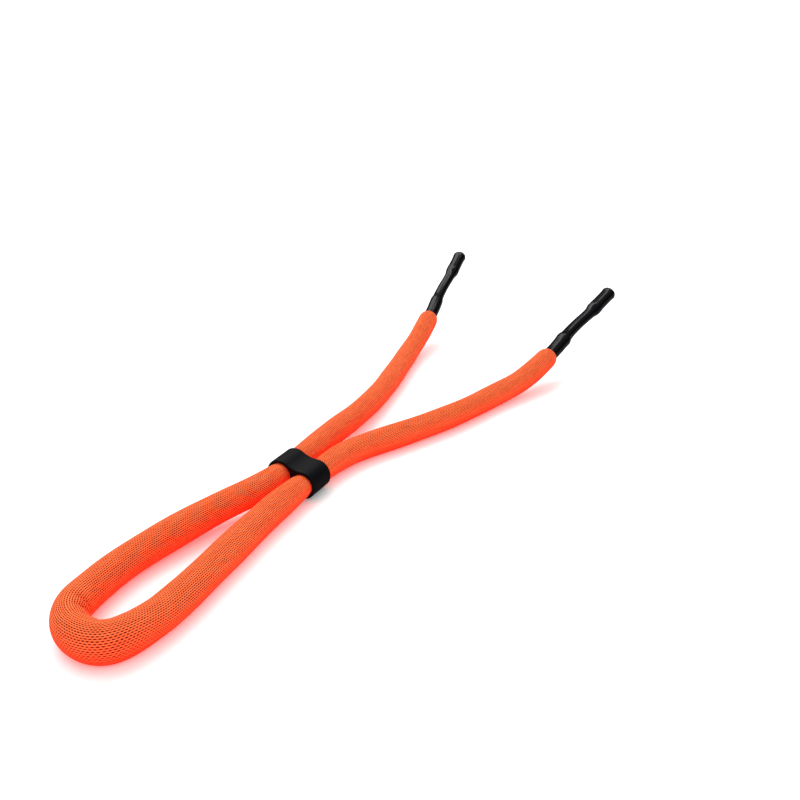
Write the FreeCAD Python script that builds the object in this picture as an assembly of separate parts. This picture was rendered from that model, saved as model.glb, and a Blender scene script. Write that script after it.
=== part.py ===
"""Eyeglass retainer strap: padded knit tube, two-hole slider and two temple sleeves.

Units are millimetres and +Z is up. The strap lies on the plane z = 0 with its folded
loop towards -Y and its sleeves towards +Y.
"""
import FreeCAD
import Part
import math
import os

Vector = FreeCAD.Vector

# Strap tube
TUBE_R = 5.0              # outer radius of the knit cover
COVER_WALL = 0.5          # thickness of the knit cover
NECK_SQUEEZE = 1.1        # how much the slider presses the tube in, on the radius
NECK_TAPER = 3.5          # length over which the tube swells back to full size

# Slider
SLIDER_LENGTH = 11.5
SLIDER_WALL = 1.2
SLIDER_GAP = 0.25         # free gap between the squeezed cover and each hole
SLIDER_SADDLE_R = 10.0    # radius of the dip between the two lobes
SLIDER_EDGE = 0.35        # rounding of the band's edges
SLIDER_WEB = 1.0          # wall between the two holes
SLIDER_ROLL = 16.0        # degrees, the left lobe is lifted off the surface
SLIDER_YAW = 4.0          # degrees, the way the slider points in the plan
SLIDER_X = 2.3            # middle of the slider in the plan
SLIDER_Y = -62.7
LEG_RUN = 17.0            # half the straight stretch of tube through each hole

# Temple sleeves, measured outwards from the end of the tube
SLEEVE_R = 3.45           # over the plug
SLEEVE_NECK_R = 2.85
SLEEVE_MOUTH_R = 3.5
SLEEVE_INSET = 14.0       # length hidden inside the tube
SLEEVE_OUT = 66.0         # length that shows
SLEEVE_EDGE = 0.3         # chamfer of the sleeve's outer ends
ROOT_LENGTH = 16.0
ROOT_TAPER = 4.0
MOUTH_LENGTH = 15.0
MOUTH_TAPER = 5.0
SOCKET_R = 2.4            # bore that takes the temple tip
SOCKET_LENGTH = 20.0
SOCKET_LEAD = 0.4         # chamfer at the open end of the socket
SLEEVE_BORE_R = 1.8
BORE_TAPER = 3.0

# End plugs
PLUG_R = 2.5
PLUG_BARB_DEPTH = 0.35
PLUG_BARB_PITCH = 2.5
PLUG_BARBS = 5            # barbs at each end
PLUG_BARB_LEAN = 0.8      # share of the pitch that is the barb's long slope
PLUG_INSET = 0.5          # step of the plug behind the sleeve's hidden end
PLUG_SHORT = 0.5          # step of the plug behind the sleeve's root step

# Closed tube ends
SHOULDER = 3.4            # length of the rounded shoulder
LIP_LENGTH = 7.0          # length of cover turned in along the sleeve
LIP_TO_FOAM = 0.2
CAP_LENGTH = 8.0          # length of the tube built as one turned end

# Thread whipping on the turned-in lip
THREAD_R = 0.24
THREAD_TURNS = 6
WHIP_START = 3.6

FOAM_R = TUBE_R - COVER_WALL
NECK_R = TUBE_R - NECK_SQUEEZE
SLIDER_HOLE_R = NECK_R + SLIDER_GAP
SLIDER_LOBE_R = SLIDER_HOLE_R + SLIDER_WALL
LEG_OFFSET = SLIDER_HOLE_R + SLIDER_WEB / 2
AXIS_Z = TUBE_R

# The slider lies on its right lobe; its holes run along TRAVEL, side by side along ACROSS
SLIDER_TURN = (FreeCAD.Rotation(Vector(0, 0, 1), SLIDER_YAW)
               * FreeCAD.Rotation(Vector(0, 1, 0), SLIDER_ROLL))
TRAVEL = SLIDER_TURN.multVec(Vector(0, 1, 0))
ACROSS = SLIDER_TURN.multVec(Vector(1, 0, 0))
SLIDER_MIDDLE = Vector(SLIDER_X, SLIDER_Y, SLIDER_LOBE_R - LEG_OFFSET * ACROSS.z)


def leg_point(side, along):
    """Point on the line of a hole: side is -1 for left or 1 for right."""
    point = SLIDER_MIDDLE + ACROSS * (side * LEG_OFFSET) + TRAVEL * along
    return tuple(point)


# Corner points of the strap's middle line, from the left end round to the right end
ROUTE = [
    (-35.8, 107.9, 13.6),
    (-32.2, 90.8, 8.4),
    (-28.5, 71.8, 5.4),
    (-21.2, 46.8, AXIS_Z),
    (-14.0, 20.8, AXIS_Z),
    (-8.5, -6.2, 6.0),
    (-5.8, -30.2, 7.3),
    leg_point(-1, LEG_RUN),
    leg_point(-1, -LEG_RUN),
    (-6.1, -95.2, 6.8),
    (-10.0, -117.2, 5.6),
    (-11.0, -140.4, AXIS_Z),
    (-4.6, -164.4, AXIS_Z),
    (17.4, -165.5, AXIS_Z),
    (16.7, -140.7, AXIS_Z),
    (13.1, -118.2, AXIS_Z),
    (9.5, -95.2, AXIS_Z),
    leg_point(1, -LEG_RUN),
    leg_point(1, LEG_RUN),
    (8.6, -30.2, AXIS_Z),
    (18.4, -7.2, AXIS_Z),
    (27.1, 18.8, AXIS_Z),
    (31.8, 43.8, AXIS_Z),
    (38.4, 65.3, 7.0),
    (40.9, 85.5, 12.2),
]
LEFT_RUN = 7              # index of the straight run through the slider's left hole
FOLD_RUN = 12             # index of the short run at the bottom of the loop
RIGHT_RUN = 17            # index of the straight run through its right hole
ARC_SHARE = 0.45          # share of the shorter run that each arc takes


def corner_arc(before, corner, after):
    """Points where an arc meets the two runs, its middle point and its radius."""
    back = before - corner
    ahead = after - corner
    reach = ARC_SHARE * min(back.Length, ahead.Length)
    back.normalize()
    ahead.normalize()
    half_turn = (math.pi - back.getAngle(ahead)) / 2
    radius = reach / math.tan(half_turn)
    inward = back + ahead
    inward.normalize()
    depth = radius / math.cos(half_turn) - radius
    return corner + back * reach, corner + inward * depth, corner + ahead * reach, radius


def route_edges():
    """Lines and arcs of the whole middle line, and the straight line of each run."""
    points = [Vector(*p) for p in ROUTE]
    edges = []
    lines = []
    start = points[0]
    for i in range(1, len(points) - 1):
        near, middle, far, radius = corner_arc(points[i - 1], points[i], points[i + 1])
        lines.append((start, near))
        edges.append(Part.LineSegment(start, near).toShape())
        edges.append(Part.Arc(near, middle, far).toShape())
        print("corner %d radius %.1f mm" % (i, radius))
        start = far
    lines.append((start, points[-1]))
    edges.append(Part.LineSegment(start, points[-1]).toShape())
    return edges, lines


ROUTE_EDGES, ROUTE_LINES = route_edges()


def swept(edges, radius):
    """Round bar of one radius along joined edges."""
    first = edges[0]
    start = first.valueAt(first.FirstParameter)
    along = first.tangentAt(first.FirstParameter)
    profile = Part.Wire([Part.makeCircle(radius, start, along)])
    return Part.Wire(edges).makePipeShell([profile], True, True)


def turned(outline, base, direction):
    """Solid turned from (distance, radius) points about a line from base."""
    edges = []
    for a, b in zip(outline, outline[1:] + outline[:1]):
        edges.append(Part.makeLine(Vector(a[1], 0, a[0]), Vector(b[1], 0, b[0])))
    return spun(edges, base, direction)


def spun(edges, base, direction):
    """Solid turned from edges drawn in the XZ plane, Z being the line from base."""
    solid = Part.Face(Part.Wire(edges)).revolve(Vector(), Vector(0, 0, 1), 360)
    turn = FreeCAD.Rotation(Vector(0, 0, 1), direction)
    solid.Placement = FreeCAD.Placement(base, turn)
    return solid


def swell(z_from, r_from, z_to, r_to):
    """Two tangent arcs that lead smoothly from one radius to another."""
    half_z = (z_to - z_from) / 2
    half_r = (r_to - r_from) / 2
    middle = Vector(r_from + half_r, 0, z_from + half_z)
    lean = half_r / 4
    first = Part.Arc(Vector(r_from, 0, z_from),
                     Vector(r_from + lean, 0, z_from + half_z / 2), middle)
    second = Part.Arc(middle, Vector(r_to - lean, 0, z_to - half_z / 2),
                      Vector(r_to, 0, z_to))
    return [first.toShape(), second.toShape()]


def neck(centre, half_length, inset):
    """Squeezed part of the tube, inset below the cover's outer surface."""
    full = TUBE_R - inset
    tight = NECK_R - inset
    half_tight = half_length - NECK_TAPER
    edges = swell(-half_length, full, -half_tight, tight)
    edges.append(Part.makeLine(Vector(tight, 0, -half_tight), Vector(tight, 0, half_tight)))
    edges += swell(half_tight, tight, half_length, full)
    edges.append(Part.makeLine(Vector(full, 0, half_length), Vector(0, 0, half_length)))
    edges.append(Part.makeLine(Vector(0, 0, half_length), Vector(0, 0, -half_length)))
    edges.append(Part.makeLine(Vector(0, 0, -half_length), Vector(full, 0, -half_length)))
    return spun(edges, centre, TRAVEL)


def tube_pieces(inset, cut_back):
    """Solid bars along the route and both necks, shortened at each end."""
    edges, lines = list(ROUTE_EDGES), ROUTE_LINES
    (left_base, left_out), (right_base, right_out) = tube_ends()
    edges[0] = Part.makeLine(left_base - left_out * cut_back, lines[0][1])
    edges[-1] = Part.makeLine(lines[-1][0], right_base - right_out * cut_back)
    half = SLIDER_LENGTH / 2 + NECK_TAPER
    left = Vector(*leg_point(-1, 0))
    right = Vector(*leg_point(1, 0))
    step = TRAVEL * half
    i, k, j = 2 * LEFT_RUN, 2 * FOLD_RUN, 2 * RIGHT_RUN
    fold = (lines[FOLD_RUN][0] + lines[FOLD_RUN][1]) / 2
    pieces = [
        edges[:i] + [Part.makeLine(lines[LEFT_RUN][0], left + step)],
        [Part.makeLine(left - step, lines[LEFT_RUN][1])] + edges[i + 1:k]
        + [Part.makeLine(lines[FOLD_RUN][0], fold)],
        [Part.makeLine(fold, lines[FOLD_RUN][1])] + edges[k + 1:j]
        + [Part.makeLine(lines[RIGHT_RUN][0], right - step)],
        [Part.makeLine(right + step, lines[RIGHT_RUN][1])] + edges[j + 1:],
    ]
    bars = [swept(piece, TUBE_R - inset) for piece in pieces]
    return bars + [neck(left, half, inset), neck(right, half, inset)]


def tube_ends():
    """Middle of each end face of the strap and the way it points."""
    ends = []
    for outer, inner in (ROUTE_LINES[0], ROUTE_LINES[-1][::-1]):
        out = outer - inner
        out.normalize()
        ends.append((outer, out))
    return ends


def end_cap():
    """Edges of the closed end: outer wall, rounded shoulder and turned-in lip."""
    lip_r = SLEEVE_R + COVER_WALL
    curve = math.sqrt(0.5)
    wide = TUBE_R - lip_r
    thin = FOAM_R - lip_r
    return [
        Part.makeLine(Vector(FOAM_R, 0, -CAP_LENGTH), Vector(TUBE_R, 0, -CAP_LENGTH)),
        Part.makeLine(Vector(TUBE_R, 0, -CAP_LENGTH), Vector(TUBE_R, 0, -SHOULDER)),
        Part.Arc(Vector(TUBE_R, 0, -SHOULDER),
                 Vector(lip_r + wide * curve, 0, -SHOULDER * (1 - curve)),
                 Vector(lip_r, 0, 0)).toShape(),
        Part.makeLine(Vector(lip_r, 0, 0), Vector(SLEEVE_R, 0, -COVER_WALL)),
        Part.makeLine(Vector(SLEEVE_R, 0, -COVER_WALL), Vector(SLEEVE_R, 0, -LIP_LENGTH)),
        Part.makeLine(Vector(SLEEVE_R, 0, -LIP_LENGTH), Vector(lip_r, 0, -LIP_LENGTH)),
        Part.makeLine(Vector(lip_r, 0, -LIP_LENGTH), Vector(lip_r, 0, -COVER_WALL)),
        Part.Arc(Vector(lip_r, 0, -COVER_WALL),
                 Vector(lip_r + thin * curve, 0,
                        -COVER_WALL - (SHOULDER - COVER_WALL) * (1 - curve)),
                 Vector(FOAM_R, 0, -SHOULDER)).toShape(),
        Part.makeLine(Vector(FOAM_R, 0, -SHOULDER), Vector(FOAM_R, 0, -CAP_LENGTH)),
    ]


def strap_cover():
    """Knit tube with squeezed necks and ends turned in round the sleeves."""
    outer = tube_pieces(0, CAP_LENGTH)
    inner = tube_pieces(COVER_WALL, CAP_LENGTH)
    walls = [skin.cut(hollow) for skin, hollow in zip(outer, inner)]
    caps = [spun(end_cap(), base, out) for base, out in tube_ends()]
    return walls[0].fuse(walls[1:] + caps).removeSplitter()


def foam_core():
    """Foam rod that fills the cover, bored at each end for a sleeve's root."""
    bars = tube_pieces(COVER_WALL, LIP_LENGTH + LIP_TO_FOAM)
    rod = bars[0].fuse(bars[1:]).removeSplitter()
    for base, out in tube_ends():
        rod = rod.cut(Part.makeCylinder(SLEEVE_R, SLEEVE_INSET + LIP_TO_FOAM, base, out * -1))
    return rod


def slider_outline():
    """Outline of two round lobes joined by a shallow saddle above and below."""
    reach = SLIDER_LOBE_R + SLIDER_SADDLE_R
    height = math.sqrt(reach ** 2 - LEG_OFFSET ** 2)
    touch = SLIDER_LOBE_R / reach
    x = LEG_OFFSET * (1 - touch)
    z = height * touch
    low = height - SLIDER_SADDLE_R
    side = LEG_OFFSET + SLIDER_LOBE_R
    arcs = [
        ((-x, z), (0, low), (x, z)),
        ((x, z), (side, 0), (x, -z)),
        ((x, -z), (0, -low), (-x, -z)),
        ((-x, -z), (-side, 0), (-x, z)),
    ]
    return Part.Wire([Part.Arc(*[Vector(u, 0, w) for u, w in arc]).toShape() for arc in arcs])


def slider():
    """One-piece rubber band with two holes and the web between them."""
    body = Part.Face(slider_outline()).extrude(Vector(0, SLIDER_LENGTH, 0))
    body = body.makeFillet(SLIDER_EDGE, [e for e in body.Edges
                                         if abs(e.BoundBox.YLength) < 1e-6])
    for side in (-LEG_OFFSET, LEG_OFFSET):
        hole = Part.makeCylinder(SLIDER_HOLE_R, SLIDER_LENGTH, Vector(side, 0, 0), Vector(0, 1, 0))
        body = body.cut(hole)
    base = SLIDER_MIDDLE - TRAVEL * (SLIDER_LENGTH / 2)
    body.Placement = FreeCAD.Placement(base, SLIDER_TURN)
    return body


def temple_sleeve(base, out):
    """Stretchy sleeve: root over the plug, slim neck and socket mouth."""
    mouth_start = SLEEVE_OUT - MOUTH_LENGTH
    socket_start = SLEEVE_OUT - SOCKET_LENGTH
    plug_end = ROOT_LENGTH
    outline = [
        (-SLEEVE_INSET, PLUG_R),
        (-SLEEVE_INSET, SLEEVE_R - SLEEVE_EDGE),
        (-SLEEVE_INSET + SLEEVE_EDGE, SLEEVE_R),
        (ROOT_LENGTH, SLEEVE_R),
        (ROOT_LENGTH + ROOT_TAPER / 2, (SLEEVE_R + 2 * SLEEVE_NECK_R) / 3),
        (ROOT_LENGTH + ROOT_TAPER, SLEEVE_NECK_R),
        (mouth_start - MOUTH_TAPER, SLEEVE_NECK_R),
        (mouth_start - MOUTH_TAPER / 2, (SLEEVE_MOUTH_R + SLEEVE_NECK_R) / 2),
        (mouth_start, SLEEVE_MOUTH_R),
        (SLEEVE_OUT - SLEEVE_EDGE, SLEEVE_MOUTH_R),
        (SLEEVE_OUT, SLEEVE_MOUTH_R - SLEEVE_EDGE),
        (SLEEVE_OUT, SOCKET_R + SOCKET_LEAD),
        (SLEEVE_OUT - SOCKET_LEAD, SOCKET_R),
        (socket_start, SOCKET_R),
        (socket_start - BORE_TAPER, SLEEVE_BORE_R),
        (plug_end + BORE_TAPER, SLEEVE_BORE_R),
        (plug_end, PLUG_R),
    ]
    return turned(outline, base, out)


def end_plug(base, out):
    """Barbed dowel that stretches the sleeve's root and locks it in the foam."""
    start = -SLEEVE_INSET + PLUG_INSET
    end = ROOT_LENGTH - PLUG_SHORT
    outline = [(start, 0), (start, PLUG_R - PLUG_BARB_DEPTH)]
    for i in range(PLUG_BARBS):
        foot = start + i * PLUG_BARB_PITCH
        outline.append((foot + PLUG_BARB_PITCH * PLUG_BARB_LEAN, PLUG_R))
        outline.append((foot + PLUG_BARB_PITCH, PLUG_R - PLUG_BARB_DEPTH))
    for i in range(PLUG_BARBS):
        foot = end - (PLUG_BARBS - i) * PLUG_BARB_PITCH
        outline.append((foot, PLUG_R - PLUG_BARB_DEPTH))
        outline.append((foot + PLUG_BARB_PITCH * (1 - PLUG_BARB_LEAN), PLUG_R))
    outline.append((end, PLUG_R - PLUG_BARB_DEPTH))
    outline.append((end, 0))
    return turned(outline, base, out)


def end_binding(base, out):
    """Close turns of thread round the turned-in lip, as one ridged ring."""
    foot_r = SLEEVE_R + COVER_WALL
    pitch = 2 * THREAD_R
    end = -WHIP_START - THREAD_TURNS * pitch
    outline = [(end, foot_r), (end, foot_r + THREAD_R)]
    for i in range(THREAD_TURNS):
        outline.append((end + (i + 0.5) * pitch, foot_r + pitch))
        outline.append((end + (i + 1) * pitch, foot_r + THREAD_R))
    outline.append((-WHIP_START, foot_r))
    return turned(outline, base, out)


def main():
    """Build every node and write it as its own STEP file."""
    os.makedirs("parts", exist_ok=True)
    left, right = tube_ends()
    nodes = {
        "strap_cover": strap_cover(),
        "foam_core": foam_core(),
        "slider": slider(),
        "left_temple_sleeve": temple_sleeve(*left),
        "right_temple_sleeve": temple_sleeve(*right),
        "left_end_plug": end_plug(*left),
        "right_end_plug": end_plug(*right),
        "left_end_binding": end_binding(*left),
        "right_end_binding": end_binding(*right),
    }
    whole = FreeCAD.BoundBox()
    for name, shape in nodes.items():
        shape.exportStep("parts/%s.step" % name)
        box = shape.BoundBox
        whole.add(box)
        print("%-20s valid %s solids %d volume %.1f z %.3f" % (
            name, shape.isValid(), len(shape.Solids), shape.Volume, box.ZMin))
    print("box", whole)
    length = sum(edge.Length for edge in ROUTE_EDGES)
    area = math.pi * FOAM_R ** 2
    print("strap length %.1f mm, foam %.1f of %.1f mm3" % (
        length, nodes["foam_core"].Volume, length * area))
    for base, out in (left, right):
        print("end", base, out)


main()
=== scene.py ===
"""Looks of the eyeglass retainer strap: knit tube, two-hole slider and temple sleeves.

The strap lies on a pale floor with its loop towards -Y. Every length is in metres.
"""

import logging
import math
from dataclasses import dataclass, field
from enum import Enum

import bmesh
import bpy
import numpy as np
from mathutils import Matrix, Vector

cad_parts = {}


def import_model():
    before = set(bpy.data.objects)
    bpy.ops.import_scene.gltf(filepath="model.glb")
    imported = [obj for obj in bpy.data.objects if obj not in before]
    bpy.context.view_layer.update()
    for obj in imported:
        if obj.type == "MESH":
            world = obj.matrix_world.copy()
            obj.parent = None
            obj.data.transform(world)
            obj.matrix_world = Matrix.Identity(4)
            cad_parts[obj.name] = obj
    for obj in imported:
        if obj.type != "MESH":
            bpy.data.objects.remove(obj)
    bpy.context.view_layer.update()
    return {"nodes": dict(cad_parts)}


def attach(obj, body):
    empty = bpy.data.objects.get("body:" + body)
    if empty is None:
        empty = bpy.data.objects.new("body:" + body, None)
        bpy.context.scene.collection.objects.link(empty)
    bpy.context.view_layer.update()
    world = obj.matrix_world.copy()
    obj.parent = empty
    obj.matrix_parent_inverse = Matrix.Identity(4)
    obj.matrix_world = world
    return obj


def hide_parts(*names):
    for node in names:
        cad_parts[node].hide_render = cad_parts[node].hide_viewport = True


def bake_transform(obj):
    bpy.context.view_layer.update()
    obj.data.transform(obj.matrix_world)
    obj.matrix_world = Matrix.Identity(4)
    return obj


LOG = logging.getLogger("retainer_strap")
MM = 0.001

TUBE_R = 5.0 * MM

# The slider lies on its right lobe, rolled about its travel line and turned in the plan
LEG_OFFSET = 4.65 * MM
SLIDER_LOBE_R = 5.35 * MM
SLIDER_ROLL = math.radians(16.0)
SLIDER_YAW = math.radians(4.0)
SLIDER_TURN = Matrix.Rotation(SLIDER_YAW, 3, "Z") @ Matrix.Rotation(SLIDER_ROLL, 3, "Y")
TRAVEL = SLIDER_TURN @ Vector((0, 1, 0))
ACROSS = SLIDER_TURN @ Vector((1, 0, 0))
SLIDER_CENTRE = Vector((0.0023, -0.0627, SLIDER_LOBE_R - LEG_OFFSET * ACROSS.z))
LEG_RUN = 17.0 * MM


def leg_point(side: int, along: float) -> tuple[float, float, float]:
    """Point on the line of one of the slider's holes.

    Args:
        side: -1 for the left hole, 1 for the right one.
        along: Distance from the slider's middle, towards the sleeves.

    Returns:
        The point.
    """
    return tuple(SLIDER_CENTRE + ACROSS * (side * LEG_OFFSET) + TRAVEL * along)


# Corner points of the strap's middle line, from the left end round to the right end
ROUTE = [
    (-0.0358, 0.1079, 0.0136),
    (-0.0322, 0.0908, 0.0084),
    (-0.0285, 0.0718, 0.0054),
    (-0.0212, 0.0468, TUBE_R),
    (-0.0140, 0.0208, TUBE_R),
    (-0.0085, -0.0062, 0.0060),
    (-0.0058, -0.0302, 0.0073),
    leg_point(-1, LEG_RUN),
    leg_point(-1, -LEG_RUN),
    (-0.0061, -0.0952, 0.0068),
    (-0.0100, -0.1172, 0.0056),
    (-0.0110, -0.1404, TUBE_R),
    (-0.0046, -0.1644, TUBE_R),
    (0.0174, -0.1655, TUBE_R),
    (0.0167, -0.1407, TUBE_R),
    (0.0131, -0.1182, TUBE_R),
    (0.0095, -0.0952, TUBE_R),
    leg_point(1, -LEG_RUN),
    leg_point(1, LEG_RUN),
    (0.0086, -0.0302, TUBE_R),
    (0.0184, -0.0072, TUBE_R),
    (0.0271, 0.0188, TUBE_R),
    (0.0318, 0.0438, TUBE_R),
    (0.0384, 0.0653, 0.0070),
    (0.0409, 0.0855, 0.0122),
]
FOLD_MIDDLE = Vector((0.0050, -0.1520, TUBE_R))

Socket = float | bpy.types.NodeSocket


class Part(Enum):
    """The three lengths of the strap, parted at the slider's middle."""

    LEFT_LEG = "left_leg"
    LOOP = "loop"
    RIGHT_LEG = "right_leg"


# ---------------------------------------------------------------- small helpers


def new_mesh_object(name: str, vertices: np.ndarray, faces: list) -> bpy.types.Object:
    """Make a mesh object at the origin with smooth faces turned outward.

    Args:
        name: Name of the piece.
        vertices: Points in the row frame, one row each.
        faces: Vertex indices of each face.

    Returns:
        The linked object.
    """
    mesh = bpy.data.meshes.new(name)
    mesh.from_pydata([tuple(map(float, v)) for v in vertices], [], faces)
    mesh.validate()
    work = bmesh.new()
    work.from_mesh(mesh)
    bmesh.ops.recalc_face_normals(work, faces=work.faces)
    work.to_mesh(mesh)
    work.free()
    mesh.shade_smooth()
    made = bpy.data.objects.new(name, mesh)
    bpy.context.scene.collection.objects.link(made)
    return made


def tube_faces(rows: int, around: int, joined: bool = False) -> list:
    """Side faces of a tube made of rings.

    Args:
        rows: Number of rings.
        around: Points in a ring.
        joined: Whether the last ring meets the first one.

    Returns:
        Vertex indices of each face.
    """
    faces = []
    for i in range(rows if joined else rows - 1):
        following = (i + 1) % rows
        for j in range(around):
            k = (j + 1) % around
            faces.append((i * around + j, i * around + k,
                          following * around + k, following * around + j))
    return faces


def capped_faces(rows: int, around: int) -> list:
    """Faces of a tube of rings with a flat cap at each end.

    Args:
        rows: Number of rings.
        around: Points in a ring.

    Returns:
        Vertex indices of each face.
    """
    caps = [tuple(range(around))[::-1], tuple(range((rows - 1) * around, rows * around))]
    return caps + tube_faces(rows, around)


def bake(target: bpy.types.Object) -> None:
    """Turn an object's modifiers into its plain mesh.

    Args:
        target: The object.
    """
    bpy.context.view_layer.update()
    graph = bpy.context.evaluated_depsgraph_get()
    mesh = bpy.data.meshes.new_from_object(target.evaluated_get(graph))
    target.modifiers.clear()
    old = target.data
    target.data = mesh
    bpy.data.meshes.remove(old)


def smooth_step(value: np.ndarray) -> np.ndarray:
    """Ease from 0 to 1 with flat ends.

    Args:
        value: Values, clipped to 0..1 first.

    Returns:
        Eased values.
    """
    t = np.clip(value, 0.0, 1.0)
    return t * t * (3 - 2 * t)


def curve_points(points: list, steps: int) -> np.ndarray:
    """Read a smooth line through a list of control points.

    Args:
        points: Control points of the line.
        steps: Points read between two control points.

    Returns:
        Points along the line, one row each.
    """
    data = bpy.data.curves.new("route", "CURVE")
    data.dimensions = "3D"
    data.resolution_u = steps
    spline = data.splines.new("NURBS")
    spline.points.add(len(points) - 1)
    for target, point in zip(spline.points, points):
        target.co = (*point, 1.0)
    spline.order_u = 3
    spline.use_endpoint_u = True
    holder = bpy.data.objects.new("route", data)
    bpy.context.scene.collection.objects.link(holder)
    bpy.context.view_layer.update()
    mesh = bpy.data.meshes.new_from_object(holder)
    line = np.array([v.co for v in mesh.vertices], float)
    bpy.data.objects.remove(holder)
    bpy.data.curves.remove(data)
    bpy.data.meshes.remove(mesh)
    return line


# ---------------------------------------------------------------- node building


class NodeTree:
    """Small front end that places and joins nodes."""

    def __init__(self, tree: bpy.types.NodeTree):
        """Take the tree to fill.

        Args:
            tree: Shader or geometry node tree.
        """
        self.tree = tree

    def add(self, kind: str, settings: dict | None = None, **inputs) -> bpy.types.Node:
        """Add one node.

        Args:
            kind: Node type name.
            settings: Attributes of the node to set.
            **inputs: Values or sockets for its inputs, named with underscores.

        Returns:
            The new node.
        """
        node = self.tree.nodes.new(kind)
        for key, value in (settings or {}).items():
            setattr(node, key, value)
        for key, value in inputs.items():
            self.feed(node, key, value)
        return node

    def feed(self, node: bpy.types.Node, key: str, value: object) -> None:
        """Set or link one input.

        Args:
            node: Node that takes the value.
            key: Input name with underscores for spaces, or its number as i0, i1.
            value: A socket to link, or a plain value.
        """
        if key[0] == "i" and key[1:].isdigit():
            socket = node.inputs[int(key[1:])]
        else:
            socket = node.inputs[key.replace("_", " ")]
        if isinstance(value, bpy.types.NodeSocket):
            self.tree.links.new(value, socket)
        else:
            socket.default_value = value

    def math(self, operation: str, a: Socket, b: Socket = 0.0, c: Socket = 0.0,
             clamp: bool = False) -> bpy.types.NodeSocket:
        """Add a math node and return its result.

        Args:
            operation: Math operation name.
            a: First value or socket.
            b: Second value or socket.
            c: Third value or socket.
            clamp: Whether the result is kept in 0..1.

        Returns:
            The output socket.
        """
        node = self.add("ShaderNodeMath", {"operation": operation, "use_clamp": clamp})
        for index, value in enumerate((a, b, c)):
            self.feed(node, f"i{index}", value)
        return node.outputs[0]

    def ease(self, value: Socket, span: tuple, ends: tuple = (0.0, 1.0)) -> bpy.types.NodeSocket:
        """Ease smoothly from one value to another.

        Args:
            value: Value or socket to read.
            span: Where the change starts and ends.
            ends: Result before and after the change.

        Returns:
            The result socket.
        """
        node = self.add("ShaderNodeMapRange", {"interpolation_type": "SMOOTHSTEP"}, i0=value,
                        i1=span[0], i2=span[1], i3=ends[0], i4=ends[1])
        return node.outputs[0]

    def mix(self, factor: Socket, a: object, b: object) -> bpy.types.NodeSocket:
        """Mix two colours.

        Args:
            factor: Share of the second colour.
            a: First colour or socket.
            b: Second colour or socket.

        Returns:
            The colour socket.
        """
        node = self.add("ShaderNodeMix", {"data_type": "RGBA"})
        self.feed(node, "i0", factor)
        self.feed(node, "i6", a)
        self.feed(node, "i7", b)
        return node.outputs[2]


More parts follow.
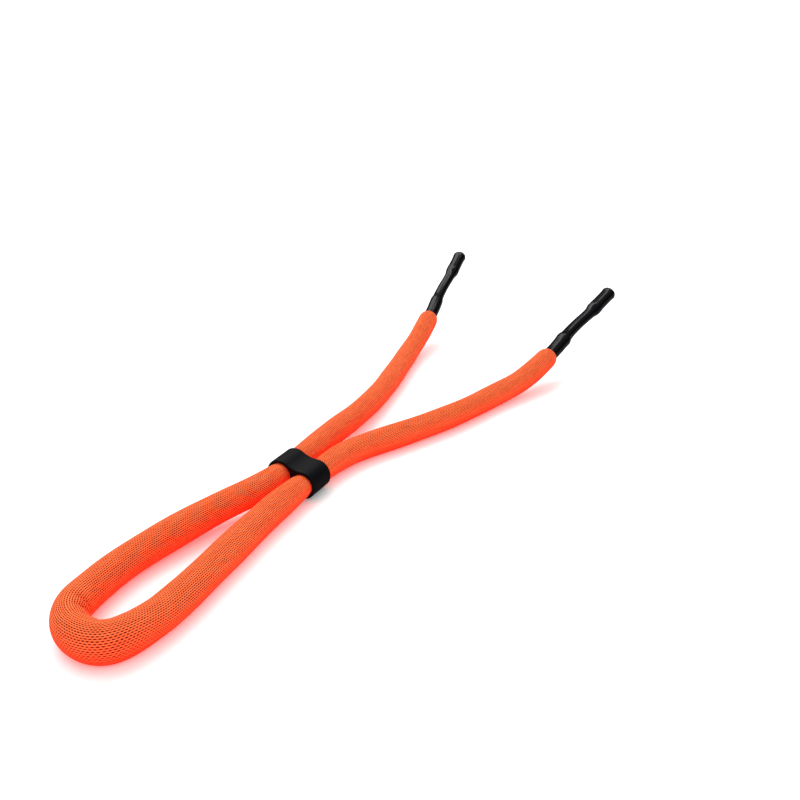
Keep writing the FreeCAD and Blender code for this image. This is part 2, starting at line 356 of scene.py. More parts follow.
@dataclass(frozen=True)
class KnitPattern:
    """Staggered rows of small pits with ribs of thread between the rows.

    A wale is one row along the tube and a course is one pit's length. Places inside a stitch
    run from -0.5 to 0.5 across and along it.
    """

    wales: float = 54.0
    course: float = 0.9 * MM
    drift: float = 0.35
    drift_scale: float = 180.0
    squeeze: tuple = (1.3, 1.15)
    pit_edge: tuple = (0.20, 0.49)
    uneven: float = 0.30
    uneven_scale: float = 420.0
    rib_height: float = 0.2
    thread_edge: tuple = (0.26, 0.46)
    bead: float = 0.3
    tone_scale: float = 40.0

    def noise(self, t: NodeTree, place: bpy.types.NodeSocket, scale: float,
              detail: float) -> bpy.types.NodeSocket:
        """Add flat noise over the cloth.

        Args:
            t: Tree to add to.
            place: Cloth coordinates.
            scale: Noise scale.
            detail: Noise detail.

        Returns:
            The noise value socket.
        """
        node = t.add("ShaderNodeTexNoise", {"noise_dimensions": "2D"}, Vector=place,
                     Scale=scale, Detail=detail)
        return node.outputs[0]

    def group(self) -> bpy.types.NodeTree:
        """Make the shared node group, or fetch it when it is there.

        Returns:
            A node group that puts out masks of the pits and of the raised threads between
            their rows, the surface height and a slow tone change.
        """
        name = "knit_pattern"
        if name in bpy.data.node_groups:
            return bpy.data.node_groups[name]
        group = bpy.data.node_groups.new(name, "ShaderNodeTree")
        for label in ("Pit", "Thread", "Height", "Tone"):
            group.interface.new_socket(label, in_out="OUTPUT", socket_type="NodeSocketFloat")
        t = NodeTree(group)
        place = t.add("ShaderNodeUVMap", {"uv_map": "knit"}).outputs[0]
        split = t.add("ShaderNodeSeparateXYZ", Vector=place)
        wobble = self.noise(t, place, self.drift_scale, 2.0)
        drift = t.math("MULTIPLY", t.math("SUBTRACT", wobble, 0.5), self.drift)
        wale = t.math("MULTIPLY_ADD", split.outputs[0], self.wales, drift)
        across = t.math("SUBTRACT", t.math("FRACT", wale), 0.5)
        stagger = t.math("MULTIPLY", t.math("MODULO", t.math("FLOOR", wale), 2.0), 0.5)
        course = t.math("ADD", t.math("DIVIDE", split.outputs[1], self.course), stagger)
        course = t.math("MULTIPLY_ADD", drift, 0.8, course)
        along = t.math("SUBTRACT", t.math("FRACT", course), 0.5)
        pit = self.pit(t, across, along, self.noise(t, place, self.uneven_scale, 1.0))
        rib = t.math("COSINE", t.math("MULTIPLY", across, 2 * math.pi))
        height = t.math("SUBTRACT", t.math("MULTIPLY", rib, -self.rib_height),
                        t.math("MULTIPLY", pit, 1.0 - self.rib_height))
        bead = t.math("COSINE", t.math("MULTIPLY", along, 4 * math.pi))
        thread = t.math("MULTIPLY", t.ease(t.math("ABSOLUTE", across), self.thread_edge),
                        t.math("MULTIPLY_ADD", bead, self.bead, 1.0 - self.bead))
        t.add("NodeGroupOutput", Pit=pit, Thread=thread, Height=height,
              Tone=self.noise(t, place, self.tone_scale, 3.0))
        return group

    def pit(self, t: NodeTree, across: bpy.types.NodeSocket, along: bpy.types.NodeSocket,
            noise: bpy.types.NodeSocket) -> bpy.types.NodeSocket:
        """Mask of one oval pit of uneven size in each stitch.

        Args:
            t: Tree to add to.
            across: Place across the stitch.
            along: Place along the stitch.
            noise: Noise that makes the pits uneven.

        Returns:
            The mask socket, 1 in the pit.
        """
        wide, long = (t.math("POWER", t.math("MULTIPLY", place, share), 2.0)
                      for place, share in zip((across, along), self.squeeze))
        distance = t.math("SQRT", t.math("ADD", wide, long))
        distance = t.math("MULTIPLY_ADD", t.math("SUBTRACT", noise, 0.5), self.uneven, distance)
        return t.ease(distance, self.pit_edge, (1.0, 0.0))


# ---------------------------------------------------------------- finishes


def new_material(name: str) -> tuple[bpy.types.Material, NodeTree]:
    """Start a material with an empty node tree.

    Args:
        name: Name of the material.

    Returns:
        The material and the front end of its tree.
    """
    made = bpy.data.materials.new(name)
    made.use_nodes = True
    made.node_tree.nodes.clear()
    return made, NodeTree(made.node_tree)


@dataclass(frozen=True)
class KnitFinish:
    """Fluorescent knit with painted light: orange painted on up-facing sides, red painted on
    down-facing sides as shade, and a painted red glow of its own.
    """

    name: str = "neon_knit"
    # Painted light and shade: the lit orange goes on up-facing sides and the low red on down-facing
    # sides
    lit: tuple = (0.78, 0.108, 0.028, 1.0)
    low: tuple = (0.85, 0.042, 0.012, 1.0)
    # Pit colour: painted shade in the recesses of the knit's pits, which also get no glow
    deep: tuple = (0.13, 0.001, 0.0005, 1.0)
    # Paler orange: a painted highlight on the threads of up-facing sides, and also the colour of the
    # random mottle patches
    pale: tuple = (1.0, 0.32, 0.12, 1.0)
    # Painted glow: red light the knit gives off itself, strongest on down-facing sides, where it keeps
    # the shaded side bright red
    painted_glow: tuple = (1.0, 0.016, 0.004, 1.0)
    painted_glow_above: float = 0.18
    painted_glow_below: float = 0.9
    lit_span: tuple = (-0.75, 0.9)
    # Painted contact shade: on faces turned down towards the floor the glow is cut to a share,
    # darkening the line where the tube meets the floor
    painted_contact_span: tuple = (-0.95, -0.5)
    painted_contact_glow_share: float = 0.4
    # Strength of the painted highlight on the threads
    thread_highlight: float = 0.8
    mottle: float = 0.35
    mottle_above: float = 0.4
    relief: float = 0.2 * MM
    pattern: KnitPattern = KnitPattern()

    def material(self) -> bpy.types.Material:
        """Make the material.

        Returns:
            The fabric material.
        """
        made, t = new_material(self.name)
        knit = t.add("ShaderNodeGroup", {"node_tree": self.pattern.group()})
        pit, thread, height, tone = knit.outputs
        normal = t.add("ShaderNodeNewGeometry").outputs["Normal"]
        level = t.add("ShaderNodeSeparateXYZ", Vector=normal).outputs[2]
        # Painted light and shade: the colour turns from the low red on down-facing faces to the lit
        # orange on up-facing faces
        upward = t.ease(level, self.lit_span)
        ground = t.mix(upward, self.low, self.lit)
        # Painted highlight: threads on up-facing sides turn paler
        ground = t.mix(t.math("MULTIPLY", thread, t.math("MULTIPLY", upward, self.thread_highlight)),
                       ground, self.pale)
        patches = t.math("SUBTRACT", tone, self.mottle_above)
        ground = t.mix(t.math("MULTIPLY", patches, self.mottle, clamp=True), ground, self.pale)
        # Painted glow: emission strength runs from the below value on down-facing faces to the above
        # value on up-facing faces
        painted_glow = t.add("ShaderNodeMapRange", i0=upward, i3=self.painted_glow_below, i4=self.painted_glow_above)
        # Painted contact shade: less glow on the undersides
        painted_contact_shade = t.ease(level, self.painted_contact_span, (self.painted_contact_glow_share, 1.0))
        bump = t.add("ShaderNodeBump", Strength=0.9, Distance=self.relief, Height=height)
        # Painted shade: the pits take the dark pit colour, both as base colour and as emission colour
        shader = t.add("ShaderNodeBsdfPrincipled", Base_Color=t.mix(pit, ground, self.deep),
                       Roughness=0.85, Emission_Color=t.mix(pit, self.painted_glow, self.deep),
                       Emission_Strength=t.math("MULTIPLY", painted_glow.outputs[0], painted_contact_shade),
                       Normal=bump.outputs[0])
        shader.inputs["Sheen Weight"].default_value = 0.03
        shader.inputs["Sheen Roughness"].default_value = 0.4
        shader.inputs["Sheen Tint"].default_value = (1.0, 0.55, 0.25, 1.0)
        shader.inputs["Specular IOR Level"].default_value = 0.05
        t.add("ShaderNodeOutputMaterial", Surface=shader.outputs[0])
        return made


@dataclass(frozen=True)
class RubberFinish:
    """Black moulded rubber with a fine uneven surface."""

    name: str
    colour: tuple
    worn: tuple
    roughness: float
    grain: float
    index: float = 1.2
    fine_scale: float = 2600.0
    broad_scale: float = 220.0
    wear: float = 0.6
    rough_low: float = -0.06
    rough_change: float = 0.14

    def material(self) -> bpy.types.Material:
        """Make the material.

        Returns:
            The rubber material.
        """
        made, t = new_material(self.name)
        place = t.add("ShaderNodeTexCoord").outputs["Object"]
        fine = t.add("ShaderNodeTexNoise", Vector=place, Scale=self.fine_scale, Detail=4.0)
        broad = t.add("ShaderNodeTexNoise", Vector=place, Scale=self.broad_scale, Detail=3.0)
        colour = t.mix(t.math("MULTIPLY", broad.outputs[0], self.wear), self.colour, self.worn)
        rough = t.math("ADD", self.roughness + self.rough_low,
                       t.math("MULTIPLY", broad.outputs[0], self.rough_change))
        bump = t.add("ShaderNodeBump", Strength=0.35, Distance=self.grain, Height=fine.outputs[0])
        shader = t.add("ShaderNodeBsdfPrincipled", Base_Color=colour, Roughness=rough,
                       Normal=bump.outputs[0])
        shader.inputs["IOR"].default_value = self.index
        t.add("ShaderNodeOutputMaterial", Surface=shader.outputs[0])
        return made


@dataclass(frozen=True)
class FoamFinish:
    """Pale closed-cell foam."""

    name: str = "closed_cell_foam"
    pore: tuple = (0.86, 0.83, 0.76, 1.0)
    wall: tuple = (0.7, 0.67, 0.6, 1.0)
    cell_scale: float = 1400.0
    relief: float = 0.1 * MM

    def material(self) -> bpy.types.Material:
        """Make the material.

        Returns:
            The foam material.
        """
        made, t = new_material(self.name)
        place = t.add("ShaderNodeTexCoord").outputs["Object"]
        cells = t.add("ShaderNodeTexVoronoi", Vector=place, Scale=self.cell_scale).outputs[0]
        bump = t.add("ShaderNodeBump", Strength=0.5, Distance=self.relief, Height=cells)
        shader = t.add("ShaderNodeBsdfPrincipled", Base_Color=t.mix(cells, self.pore, self.wall),
                       Roughness=0.9, Normal=bump.outputs[0])
        t.add("ShaderNodeOutputMaterial", Surface=shader.outputs[0])
        return made


KNIT = KnitFinish()
THREAD = KnitFinish("thread", relief=0.0)
SLIDER_RUBBER = RubberFinish("slider_rubber", (0.0026, 0.0028, 0.0038, 1.0),
                             (0.0050, 0.0054, 0.0070, 1.0), 0.46, 0.04 * MM, 1.17)
SLEEVE_RUBBER = RubberFinish("sleeve_rubber", (0.0016, 0.0016, 0.0022, 1.0),
                             (0.0030, 0.0030, 0.0042, 1.0), 0.16, 0.010 * MM, 1.22)
PLUG_PLASTIC = RubberFinish("plug_plastic", (0.05, 0.05, 0.05, 1.0), (0.08, 0.08, 0.08, 1.0),
                            0.5, 0.02 * MM)


# ---------------------------------------------------------------- strap tube


class Route:
    """The strap's middle line with a steady frame at every point."""

    # Two points nearer than this along the line are on the same leg
    same_leg = 60 * MM

    def __init__(self, steps: int = 48):
        """Read the line and find where it passes the slider's middle.

        Args:
            steps: Points read between two corner points.
        """
        self.line = curve_points(ROUTE, steps)
        step = np.linalg.norm(np.diff(self.line, axis=0), axis=1)
        self.reach = np.concatenate([[0.0], np.cumsum(step)])
        self.length = float(self.reach[-1])
        crossings = np.nonzero(np.diff(np.sign(self.beyond_slider(self.line))))[0]
        self.left_cross, self.right_cross = (float(self.reach[i]) for i in crossings[[0, -1]])

    @staticmethod
    def beyond_slider(points: np.ndarray) -> np.ndarray:
        """How far points are beyond the slider's middle, towards the sleeves.

        Args:
            points: Points in the row frame.

        Returns:
            Distance along the slider's travel line.
        """
        return (points - np.array(SLIDER_CENTRE)) @ np.array(TRAVEL)

    def room(self, points: np.ndarray, distance: np.ndarray) -> np.ndarray:
        """Half the way from each point to the other leg of the strap.

        Args:
            points: Middle-line points.
            distance: Their distances from the left end.

        Returns:
            The radius that both legs can have there without meeting.
        """
        gap = np.linalg.norm(points[:, None, :] - self.line[None, ::4, :], axis=2)
        along = np.abs(distance[:, None] - self.reach[None, ::4])
        return np.where(along < self.same_leg, 1.0, gap).min(axis=1) / 2

    def at(self, distance: np.ndarray) -> np.ndarray:
        """Points at given distances along the line.

        Args:
            distance: Distances from the left end.

        Returns:
            One point for each distance.
        """
        return np.stack([np.interp(distance, self.reach, self.line[:, k]) for k in range(3)], 1)

    def frame(self, distance: np.ndarray) -> tuple[np.ndarray, np.ndarray, np.ndarray]:
        """Directions along, sideways and upward at given distances.

        Args:
            distance: Distances from the left end.

        Returns:
            Three arrays of unit vectors.
        """
        near = 0.6 * MM
        ahead = self.at(np.minimum(distance + near, self.length))
        back = self.at(np.maximum(distance - near, 0.0))
        along = ahead - back
        along /= np.linalg.norm(along, axis=1)[:, None]
        side = np.cross(along, (0.0, 0.0, 1.0))
        side /= np.linalg.norm(side, axis=1)[:, None]
        return along, side, np.cross(side, along)

    def span(self, part: Part) -> tuple[float, float]:
        """Start and end distance of one length of the strap.

        Args:
            part: Which length.

        Returns:
            The two distances from the left end.
        """
        return {
            Part.LEFT_LEG: (0.0, self.left_cross),
            Part.LOOP: (self.left_cross, self.right_cross),
            Part.RIGHT_LEG: (self.right_cross, self.length),
        }[part]


@dataclass(frozen=True)
class Crease:
    """One wrinkle across the inside of the fold.

    The turn is the angle in the plan about the fold's middle. A positive rise is a ridge.
    """

    turn: float
    width: float
    rise: float


@dataclass
class StrapTube:
    """The knit cover over its foam, in three lengths that meet inside the slider."""

    route: Route
    finish: KnitFinish = KNIT
    radius: float = TUBE_R
    neck_radius: float = 3.9 * MM
    neck_half: float = 5.6 * MM
    bulge: float = 1.3 * MM
    neck_taper: float = 18.0 * MM
    swell_shares: tuple = (0.55, 0.45)
    loop_swell: float = 0.3 * MM
    loop_swell_start: float = 20.0 * MM
    loop_swell_length: float = 35.0 * MM
    lip_radius: float = 3.5 * MM
    shoulder: float = 4.2 * MM
    lip_depth: float = 5.0 * MM
    unevenness: float = 0.12 * MM
    uneven_turns: tuple = (61.0, 143.0)
    fold_half: float = 8.0 * MM
    fold_squeeze: tuple = (-0.20, 0.12)
    fold_rise: float = 0.16
    creases: tuple = (
        Crease(-2.62, 0.07, -0.95 * MM), Crease(-2.42, 0.09, 0.45 * MM),
        Crease(-2.22, 0.06, -0.80 * MM), Crease(-1.95, 0.09, 0.30 * MM),
        Crease(-1.72, 0.06, -0.55 * MM), Crease(-1.10, 0.09, -0.30 * MM),
    )
    foam_depth: float = 0.6 * MM
    foam_inset: float = 7.2 * MM
    tie_start: float = 11.0 * MM
    around: int = 96
    step: float = 0.45 * MM
    path_step: float = 1.5 * MM

    def radius_at(self, points: np.ndarray, distance: np.ndarray) -> np.ndarray:
        """Tube radius, squeezed at the slider and rounded at the ends.

        Args:
            points: Middle-line points.
            distance: Their distances from the left end.

        Returns:
            A radius for each point.
        """
        beyond = self.route.beyond_slider(points)
        outside = np.maximum(np.abs(beyond) - self.neck_half, 0.0)
        quick, slow = self.swell_shares
        swell = (quick * (1.0 - np.exp(-outside / self.bulge))
                 + slow * smooth_step(outside / self.neck_taper))
        into_loop = (-beyond - self.loop_swell_start) / self.loop_swell_length
        plump = self.loop_swell * smooth_step(into_loop)
        radius = self.neck_radius + (self.radius + plump - self.neck_radius) * swell
        broad, fine = self.uneven_turns
        uneven = np.sin(distance * broad) * np.sin(distance * fine + 1.0)
        radius = np.minimum(radius + self.unevenness * uneven * swell,
                            self.route.room(points, distance))
        to_end = np.minimum(distance, self.route.length - distance)
        inside = np.clip(1.0 - to_end / self.shoulder, 0.0, 1.0)
        closing = np.sqrt(1.0 - inside ** 2)
        return self.lip_radius + (radius - self.lip_radius) * closing

    def fold(self, points: np.ndarray) -> np.ndarray:
        """How strongly the tube is folded at each point.

        Args:
            points: Middle-line points.

        Returns:
            0 on the legs, 1 in the fold at the loop's end.
        """
        return smooth_step((FOLD_MIDDLE.y + self.fold_half - points[:, 1]) / (2 * self.fold_half))

    def stations(self, start: float, end: float) -> np.ndarray:
        """Distances at which rings are laid, closer together on a rounded end.

        Args:
            start: Distance of the first ring.
            end: Distance of the last ring.

        Returns:
            Distances from the left end.
        """
        distance = np.linspace(start, end, int((end - start) / self.step) + 1)
        tight = np.concatenate([[0, 0.02, 0.06, 0.12, 0.2], np.linspace(0.3, 1, 14)]) * self.shoulder
        if start == 0.0:
            distance = np.concatenate([tight, distance[distance > self.shoulder * 1.02]])
        if end == self.route.length:
            distance = np.concatenate([distance[distance < end - self.shoulder * 1.02],
                                       end - tight[::-1]])
        return distance

    def rings(self, distance: np.ndarray, radius_change: float) -> np.ndarray:
        """Rings of points along one length of the tube.

        Args:
            distance: Distance of each ring from the left end.
            radius_change: Added to the tube's radius.

        Returns:
            Array of rings, points and coordinates.
        """
        points = self.route.at(distance)
        _, side, up = self.route.frame(distance)
        radius = self.radius_at(points, distance) + radius_change
        angle = np.linspace(0, 2 * math.pi, self.around, endpoint=False) - math.pi / 2
        fold = self.fold(points)
        reach = radius[:, None] + self.wrinkles(points, angle, fold)
        squeeze = fold[:, None] * np.where(np.cos(angle) > 0, *self.fold_squeeze)[None, :]
        ring = (points[:, None, :]
                + side[:, None, :] * (reach * np.cos(angle) * (1.0 + squeeze))[..., None]
                + up[:, None, :] * (reach * np.sin(angle))[..., None])
        ring[..., 2] *= 1.0 + self.fold_rise * fold[:, None]
        return ring

    def wrinkles(self, points: np.ndarray, angle: np.ndarray, fold: np.ndarray) -> np.ndarray:
        """Wrinkles of the cover on the inside of the fold.

        Args:
            points: Middle-line points.
            angle: Angles round the tube, 0 towards the route's right.
            fold: Fold strength at each point.

        Returns:
            Radius change for each ring and angle.
        """
        turn = np.arctan2(points[:, 1] - FOLD_MIDDLE.y, points[:, 0] - FOLD_MIDDLE.x)
        inner = np.clip(-np.cos(angle), 0, 1) ** 1.5
        wave = np.zeros(len(points))
        for crease in self.creases:
            wave += crease.rise * np.exp(-((turn - crease.turn) / crease.width) ** 2)
        return (wave * fold)[:, None] * inner[None, :]

    def build_length(self, part: Part, radius_change: float, name: str) -> bpy.types.Object:
        """Build one length of the tube as an open-ended mesh with knit coordinates.

        Args:
            part: Which length.
            radius_change: Added to the tube's radius.
            name: Name of the piece.

        Returns:
            The mesh object.
        """
        distance = self.stations(*self.route.span(part))
        ring = self.rings(distance, radius_change)
        if part is Part.LEFT_LEG:
            ring, distance = self.turn_in(ring, distance, first=True)
        if part is Part.RIGHT_LEG:
            ring, distance = self.turn_in(ring, distance, first=False)
        return self.skin(ring, distance, name)

    def turn_in(self, ring: np.ndarray, distance: np.ndarray, first: bool) -> tuple:
        """Carry the cover's closed end inward along the sleeve.

        Args:
            ring: Rings of the tube.
            distance: Their distances.
            first: Whether the end is the first ring.

        Returns:
            The longer rings and distances.
        """
        at, inward = (0, 1.0) if first else (-1, -1.0)
        along, _, _ = self.route.frame(distance)
        centre = ring[at].mean(axis=0)
        spoke = ring[at] - centre
        steps = ((0.12 * MM, 0.985), (0.5 * MM, 0.98), (self.lip_depth, 0.98))
        extra = np.array([centre + along[at] * inward * deep + spoke * shrink
                          for deep, shrink in steps])
        cloth = distance[at] - inward * np.array([0.1, 0.6, 5.2]) * MM
        if first:
            return np.concatenate([extra[::-1], ring]), np.concatenate([cloth[::-1], distance])
        return np.concatenate([ring, extra]), np.concatenate([distance, cloth])

    def skin(self, ring: np.ndarray, distance: np.ndarray, name: str) -> bpy.types.Object:
        """Join rings into a mesh and lay knit coordinates on it.

        Args:
            ring: Rings of points.
            distance: Distance of each ring along the strap.
            name: Name of the piece.

        Returns:
            The mesh object.
        """
        rows, n, _ = ring.shape
        corners = [((j + right) / n, distance[i + ahead]) for i in range(rows - 1) for j in range(n)
                   for right, ahead in ((0, 0), (1, 0), (1, 1), (0, 1))]
        mesh = bpy.data.meshes.new(name)
        mesh.from_pydata([tuple(map(float, v)) for v in ring.reshape(-1, 3)], [],
                         tube_faces(rows, n))
        uv = mesh.uv_layers.new(name="knit")
        uv.data.foreach_set("uv", np.array(corners, np.float32).ravel())
        mesh.shade_smooth()
        mesh.flip_normals()
        made = bpy.data.objects.new(name, mesh)
        bpy.context.scene.collection.objects.link(made)
        return made

    def build(self) -> list[bpy.types.Object]:
        """Build the three covers, dress them and bake their placement into their meshes.

        Returns:
            The cover pieces.
        """
        fabric = self.finish.material()
        made = []
        for part in Part:
            cover = self.build_length(part, 0.0, f"{part.value}_cover")
            cover.data.materials.append(fabric)
            self.tie(cover)
            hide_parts("strap_cover")
            made.append(cover)
        return made

    def build_foam(self) -> list[bpy.types.Object]:
        """Build the foam inside the covers.

        Returns:
            The foam pieces.
        """
        foam = FoamFinish().material()
        made = []
        for part in Part:
            start, end = self.route.span(part)
            start += self.foam_inset if part is Part.LEFT_LEG else 0.0
            end -= self.foam_inset if part is Part.RIGHT_LEG else 0.0
            ring = self.rings(self.stations(start, end), -self.foam_depth)[::4, ::3]
            core = new_mesh_object(f"{part.value}_foam", ring.reshape(-1, 3),
                                   capped_faces(*ring.shape[:2]))
            core.data.materials.append(foam)
            self.tie(core)
            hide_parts("foam_core")
            made.append(core)
        return made

    def tie(self, piece: bpy.types.Object) -> None:
        """Bake the length's placement into its mesh.

        Args:
            piece: The mesh.
        """
        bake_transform(piece)

    def declare(self, covers: list[bpy.types.Object]) -> None:
        """Read points along each length's middle line, the left leg's turned round; nothing is done
        with them.

        Args:
            covers: The three cover pieces in order.
        """
        for cover, part in zip(covers, Part):
            start, end = self.route.span(part)
            path = self.route.at(np.linspace(start, end, int((end - start) / self.path_step)))
            if part is Part.LEFT_LEG:
                path = path[::-1]


# ---------------------------------------------------------------- slider


@dataclass
class Slider:
    """One-piece rubber band with two holes and a dip between its lobes."""

    length: float = 11.5 * MM
    lobe_radius: float = SLIDER_LOBE_R
    hole_radius: float = 4.15 * MM
    leg_offset: float = LEG_OFFSET
    saddle_radius: float = 10.0 * MM
    edge: float = 0.4 * MM
    finish: RubberFinish = SLIDER_RUBBER

    def outline(self, steps: int = 28, saddle_steps: int = 10) -> list[tuple[float, float]]:
        """Points of the two-lobed outline.

        Args:
            steps: Steps round each lobe.
            saddle_steps: Steps across each dip.

        Returns:
            Sideways and upward places, anticlockwise.
        """
        lobe = self.lobe_radius
        reach = lobe + self.saddle_radius
        height = math.sqrt(reach ** 2 - self.leg_offset ** 2)
        lean = math.atan2(height, -self.leg_offset)
        points = []
        for i in range(steps + 1):
            a = -lean + 2 * lean * i / steps
            points.append((self.leg_offset + lobe * math.cos(a), lobe * math.sin(a)))
        low = math.atan2(-height, self.leg_offset)
        for i in range(1, saddle_steps):
            a = low + (-math.pi - 2 * low) * i / saddle_steps
            points.append((self.saddle_radius * math.cos(a), height + self.saddle_radius * math.sin(a)))
        return points + [(-u, -w) for u, w in points]

    def build(self) -> bpy.types.Object:
        """Build the slider and put it on its body.

        Returns:
            The slider piece.
        """
        ring = self.outline()
        half = self.length / 2
        vertices = [(u, y, w) for y in (-half, half) for u, w in ring]
        body = new_mesh_object("slider_band", np.array(vertices), capped_faces(2, len(ring)))
        for side in (-1, 1):
            bpy.ops.mesh.primitive_cylinder_add(
                vertices=72, radius=self.hole_radius, depth=self.length * 2,
                location=(side * self.leg_offset, 0, 0), rotation=(math.pi / 2, 0, 0))
            drill = bpy.context.object
            cut = body.modifiers.new("hole", "BOOLEAN")
            cut.operation = "DIFFERENCE"
            cut.solver = "EXACT"
            cut.object = drill
            bake(body)
            bpy.data.objects.remove(drill)
        bevel = body.modifiers.new("edges", "BEVEL")
        bevel.width = self.edge
        bevel.segments = 4
        bevel.limit_method = "ANGLE"
        bevel.angle_limit = math.radians(50)
        bake(body)
        body.data.transform(Matrix.Translation(SLIDER_CENTRE) @ SLIDER_TURN.to_4x4())
        body.data.shade_smooth()
        weighted = body.modifiers.new("normals", "WEIGHTED_NORMAL")
        weighted.keep_sharp = True
        bake(body)
        body.data.materials.append(self.finish.material())
        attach(body, "slider")
        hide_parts("slider")
        return body


# ---------------------------------------------------------------- temple sleeves


# How strongly each sleeve bulges over the end of its plug
PLUG_BUMP = {"left": 0.3, "right": 1.0}


@dataclass
class TempleSleeve:
    """Stretchy sleeve: root over the plug, slim neck and socket mouth."""

    side: str
    base: Vector
    out: Vector
    bump: float
    finish: RubberFinish = SLEEVE_RUBBER
    bow: float = 0.9 * MM
    bow_start: float = 4.0 * MM
    bow_length: float = 44.0 * MM
    flattening: float = 0.05
    around: int = 64
    ring_gap: float = 1.6 * MM

    def profile(self) -> list[tuple[float, float]]:
        """Outline from the hidden end over the outside and back down the bore.

        Returns:
            Distances from the tube's end and radii, in metres.
        """
        hidden_root = [(-14.0, 3.15), (-13.7, 3.42), (0.0, 3.45), (6.0, 3.44), (12.0, 3.50)]
        over_plug = [(14.6, 3.44 + 0.22 * self.bump), (15.8, 3.40 + 0.30 * self.bump),
                     (16.8, 3.33 + 0.22 * self.bump), (17.8, 3.26), (19.2, 3.04)]
        slim_neck = [(21.5, 2.92), (25.0, 2.86), (32.0, 2.80), (40.0, 2.82), (43.6, 2.94)]
        over_tip = [(45.4, 3.18), (46.8, 3.50), (48.2, 3.66), (50.0, 3.62), (54.0, 3.50),
                    (60.0, 3.48), (63.4, 3.52)]
        rim = [(64.6, 3.66), (65.4, 3.70), (65.85, 3.58), (66.0, 3.36), (66.0, 2.9), (65.8, 2.62)]
        bore = [(65.4, 2.42), (60.0, 2.4), (46.0, 2.4), (43.0, 1.8), (19.0, 1.8), (16.0, 2.5),
                (-14.0, 2.5)]
        outline = hidden_root + over_plug + slim_neck + over_tip + rim + bore
        return [(a * MM, r * MM) for a, r in outline]

    def build(self) -> bpy.types.Object:
        """Build the sleeve and put it on the strap.

        Returns:
            The sleeve piece.
        """
        profile = self.profile()
        dense = []
        for (a0, r0), (a1, r1) in zip(profile, profile[1:]):
            count = max(1, int(math.hypot(a1 - a0, r1 - r0) / self.ring_gap))
            dense += [(a0 + (a1 - a0) * i / count, r0 + (r1 - r0) * i / count) for i in range(count)]
        dense.append(profile[-1])
        vertices = []
        for a, r in dense:
            share = min(max((a - self.bow_start) / self.bow_length, 0.0), 1.0)
            sag = self.bow * math.sin(math.pi * share) ** 2
            for j in range(self.around):
                angle = 2 * math.pi * j / self.around
                flat = 1.0 - self.flattening * math.sin(angle) ** 2 * (a > 0)
                vertices.append((r * math.cos(angle) - sag, r * flat * math.sin(angle), a))
        piece = new_mesh_object(f"{self.side}_sleeve", np.array(vertices),
                                tube_faces(len(dense), self.around, joined=True))
        turn = Vector((0, 0, 1)).rotation_difference(self.out).to_matrix().to_4x4()
        piece.data.transform(Matrix.Translation(self.base) @ turn)
        piece.data.materials.append(self.finish.material())
        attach(piece, "root")
        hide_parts(f"{self.side}_temple_sleeve")
        return piece


# ---------------------------------------------------------------- thread whipping


@dataclass
class ThreadWhipping:
    """Close turns of thread round the turned-in lip of the cover."""

    side: str
    base: Vector
    out: Vector
    turns: int = 6
    thread: float = 0.24 * MM
    lip_radius: float = 3.95 * MM
    start: float = 3.6 * MM
    steps_per_turn: int = 48
    section_points: int = 10

    def tree(self) -> bpy.types.NodeTree:
        """Make the node group that winds the thread.

        Returns:
            The geometry node group.
        """
        group = bpy.data.node_groups.new(f"{self.side}_whipping", "GeometryNodeTree")
        for label, kind in (("Turns", "NodeSocketFloat"), ("Radius", "NodeSocketFloat"),
                            ("Height", "NodeSocketFloat"), ("Thread", "NodeSocketFloat"),
                            ("Material", "NodeSocketMaterial")):
            group.interface.new_socket(label, in_out="INPUT", socket_type=kind)
        group.interface.new_socket("Geometry", in_out="OUTPUT", socket_type="NodeSocketGeometry")
        t = NodeTree(group)
        given = t.add("NodeGroupInput")
        coil = t.add("GeometryNodeCurveSpiral")
        for label, source in (("Rotations", "Turns"), ("Start Radius", "Radius"),
                              ("End Radius", "Radius"), ("Height", "Height")):
            group.links.new(given.outputs[source], coil.inputs[label])
        coil.inputs["Resolution"].default_value = self.steps_per_turn
        section = t.add("GeometryNodeCurvePrimitiveCircle")
        section.inputs["Resolution"].default_value = self.section_points
        group.links.new(given.outputs["Thread"], section.inputs["Radius"])
        tube = t.add("GeometryNodeCurveToMesh")
        tube.inputs["Fill Caps"].default_value = True
        group.links.new(coil.outputs[0], tube.inputs["Curve"])
        group.links.new(section.outputs[0], tube.inputs["Profile Curve"])
        real = t.add("GeometryNodeRealizeInstances")
        group.links.new(tube.outputs[0], real.inputs[0])
        paint = t.add("GeometryNodeSetMaterial")
        group.links.new(real.outputs[0], paint.inputs["Geometry"])
        group.links.new(given.outputs["Material"], paint.inputs["Material"])
        result = t.add("NodeGroupOutput")
        group.links.new(paint.outputs[0], result.inputs[0])
        return group

    def build(self, material: bpy.types.Material) -> bpy.types.Object:
        """Wind the thread and put it on the strap.

        Args:
            material: Thread finish.

        Returns:
            The thread piece.
        """
        group = self.tree()
        piece = new_mesh_object(f"{self.side}_whipping", np.zeros((0, 3)), [])
        wind = piece.modifiers.new("wind", "NODES")
        wind.node_group = group
        values = {"Turns": float(self.turns), "Radius": self.lip_radius + self.thread,
                  "Height": self.turns * 2 * self.thread, "Thread": self.thread,
                  "Material": material}
        for item in group.interface.items_tree:
            if item.in_out == "INPUT":
                wind[item.identifier] = values[item.name]
        bake(piece)
        turn = Vector((0, 0, 1)).rotation_difference(-self.out).to_matrix().to_4x4()
        piece.data.transform(Matrix.Translation(self.base - self.out * self.start) @ turn)
        piece.data.shade_smooth()
        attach(piece, "root")
        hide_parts(f"{self.side}_end_binding")
        return piece


# ---------------------------------------------------------------- studio


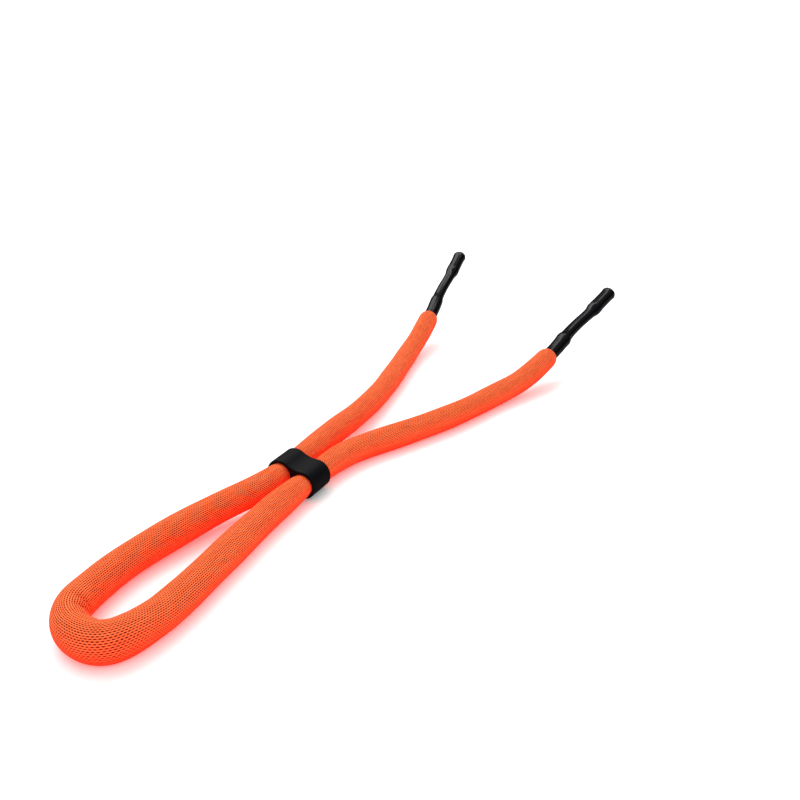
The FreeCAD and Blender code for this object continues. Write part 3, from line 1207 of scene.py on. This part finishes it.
@dataclass
class Studio:
    """Pale floor, soft lights and the camera."""

    eye: Vector = field(default_factory=lambda: Vector((0.1681, -0.2772, 0.1487)))
    heading: float = 120.0
    pitch: float = 22.9
    lens: float = 37.8
    sky: float = 0.92
    seen_sky: float = 1.1
    ceiling_span: tuple = (0.30, 0.95)
    ceiling: tuple = (0.03, 0.50)
    sun_power: float = 1.6
    sun_width: float = 55.0
    sun_from: Vector = field(default_factory=lambda: Vector((-0.8, 0.35, 1.1)))
    key_place: Vector = field(default_factory=lambda: Vector((-0.35, 0.45, 0.85)))
    key_size: tuple = (1.2, 0.12)
    key_power: float = 3.0
    floor_half: float = 6.0
    floor_tone: tuple = (0.95, 0.95, 0.95, 1.0)
    mirrored_tone: tuple = (0.2, 0.2, 0.2, 1.0)
    floor_lift: float = 0.12

    def build(self) -> None:
        """Build the floor, lights, world and camera."""
        self.floor()
        self.panel()
        self.window()
        self.world()
        self.camera()
        view = bpy.context.scene.view_settings
        view.view_transform = "Standard"
        view.look = "None"

    def floor(self) -> None:
        """Lay a wide pale floor that dark rubber does not mirror."""
        size = self.floor_half
        corners = [(-size, -size, 0), (size, -size, 0), (size, size, 0), (-size, size, 0)]
        floor = new_mesh_object("floor", np.array(corners), [(0, 1, 2, 3)])
        made, t = new_material("floor")
        mirror = t.add("ShaderNodeLightPath").outputs["Is Glossy Ray"]
        lift = t.math("MULTIPLY_ADD", mirror, -self.floor_lift, self.floor_lift)
        shader = t.add("ShaderNodeBsdfPrincipled", Roughness=0.8, Emission_Strength=lift,
                       Base_Color=t.mix(mirror, self.floor_tone, self.mirrored_tone),
                       Emission_Color=(1.0, 1.0, 1.0, 1.0))
        shader.inputs["Specular IOR Level"].default_value = 0.1
        t.add("ShaderNodeOutputMaterial", Surface=shader.outputs[0])
        floor.data.materials.append(made)

    def panel(self) -> None:
        """Hang one long soft light that faces the strap."""
        data = bpy.data.lights.new("key", "AREA")
        data.shape = "RECTANGLE"
        data.size, data.size_y = self.key_size
        data.energy = self.key_power
        lamp = bpy.data.objects.new("key", data)
        lamp.location = self.key_place
        lamp.rotation_euler = (-self.key_place).to_track_quat("-Z", "Y").to_euler()
        bpy.context.scene.collection.objects.link(lamp)

    def window(self) -> None:
        """Let in a broad soft light from one side."""
        sun = bpy.data.lights.new("window", "SUN")
        sun.energy = self.sun_power
        sun.angle = math.radians(self.sun_width)
        lamp = bpy.data.objects.new("window", sun)
        lamp.rotation_euler = self.sun_from.to_track_quat("Z", "Y").to_euler()
        bpy.context.scene.collection.objects.link(lamp)

    def world(self) -> None:
        """Surround the strap with pale sky, which dark rubber mirrors only overhead."""
        world = bpy.data.worlds.new("studio")
        world.use_nodes = True
        world.node_tree.nodes.clear()
        t = NodeTree(world.node_tree)
        place = t.add("ShaderNodeTexCoord").outputs["Generated"]
        up = t.add("ShaderNodeSeparateXYZ", Vector=place).outputs[2]
        ray = t.add("ShaderNodeLightPath")
        seen = t.math("MULTIPLY_ADD", ray.outputs["Is Camera Ray"], self.seen_sky - self.sky,
                      self.sky)
        white, graded = (t.add("ShaderNodeBackground", Color=(1.0, 1.0, 1.0, 1.0), Strength=level)
                         for level in (seen, t.ease(up, self.ceiling_span, self.ceiling)))
        both = t.add("ShaderNodeMixShader", i0=ray.outputs["Is Glossy Ray"], i1=white.outputs[0],
                     i2=graded.outputs[0])
        t.add("ShaderNodeOutputWorld", Surface=both.outputs[0])
        bpy.context.scene.world = world

    def camera(self) -> None:
        """Set the camera looking along the strap from beside the loop."""
        data = bpy.data.cameras.new("camera")
        data.sensor_width = 36.0
        data.lens = self.lens
        data.clip_start = 0.005
        camera = bpy.data.objects.new("camera", data)
        camera.location = self.eye
        turn = math.radians(self.heading - 90)
        camera.rotation_euler = (math.radians(90 - self.pitch), 0.0, turn)
        bpy.context.scene.collection.objects.link(camera)
        bpy.context.scene.camera = camera


def strap_ends() -> dict[str, tuple[Vector, Vector]]:
    """Middle of each closed end and the way it points.

    Returns:
        Base point and outward direction for the left and right end.
    """
    ends = {}
    for side, outer, inner in (("left", ROUTE[0], ROUTE[1]), ("right", ROUTE[-1], ROUTE[-2])):
        base = Vector(outer)
        ends[side] = (base, (base - Vector(inner)).normalized())
    return ends


def main() -> None:
    """Build the strap, its keeper and its sleeves, then the studio."""
    logging.basicConfig(level=logging.INFO)
    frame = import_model()
    route = Route()
    LOG.info("strap middle line %.1f mm", route.length / MM)
    tube = StrapTube(route)
    covers = tube.build()
    tube.build_foam()
    Slider().build()
    thread = THREAD.material()
    plug = PLUG_PLASTIC.material()
    for side, (base, out) in strap_ends().items():
        TempleSleeve(side, base, out, PLUG_BUMP[side]).build()
        ThreadWhipping(side, base, out).build(thread)
        node = frame["nodes"][f"{side}_end_plug"]
        node.data.materials.clear()
        node.data.materials.append(plug)
    tube.declare(covers)
    Studio().build()


if __name__ == "__main__":
    main()
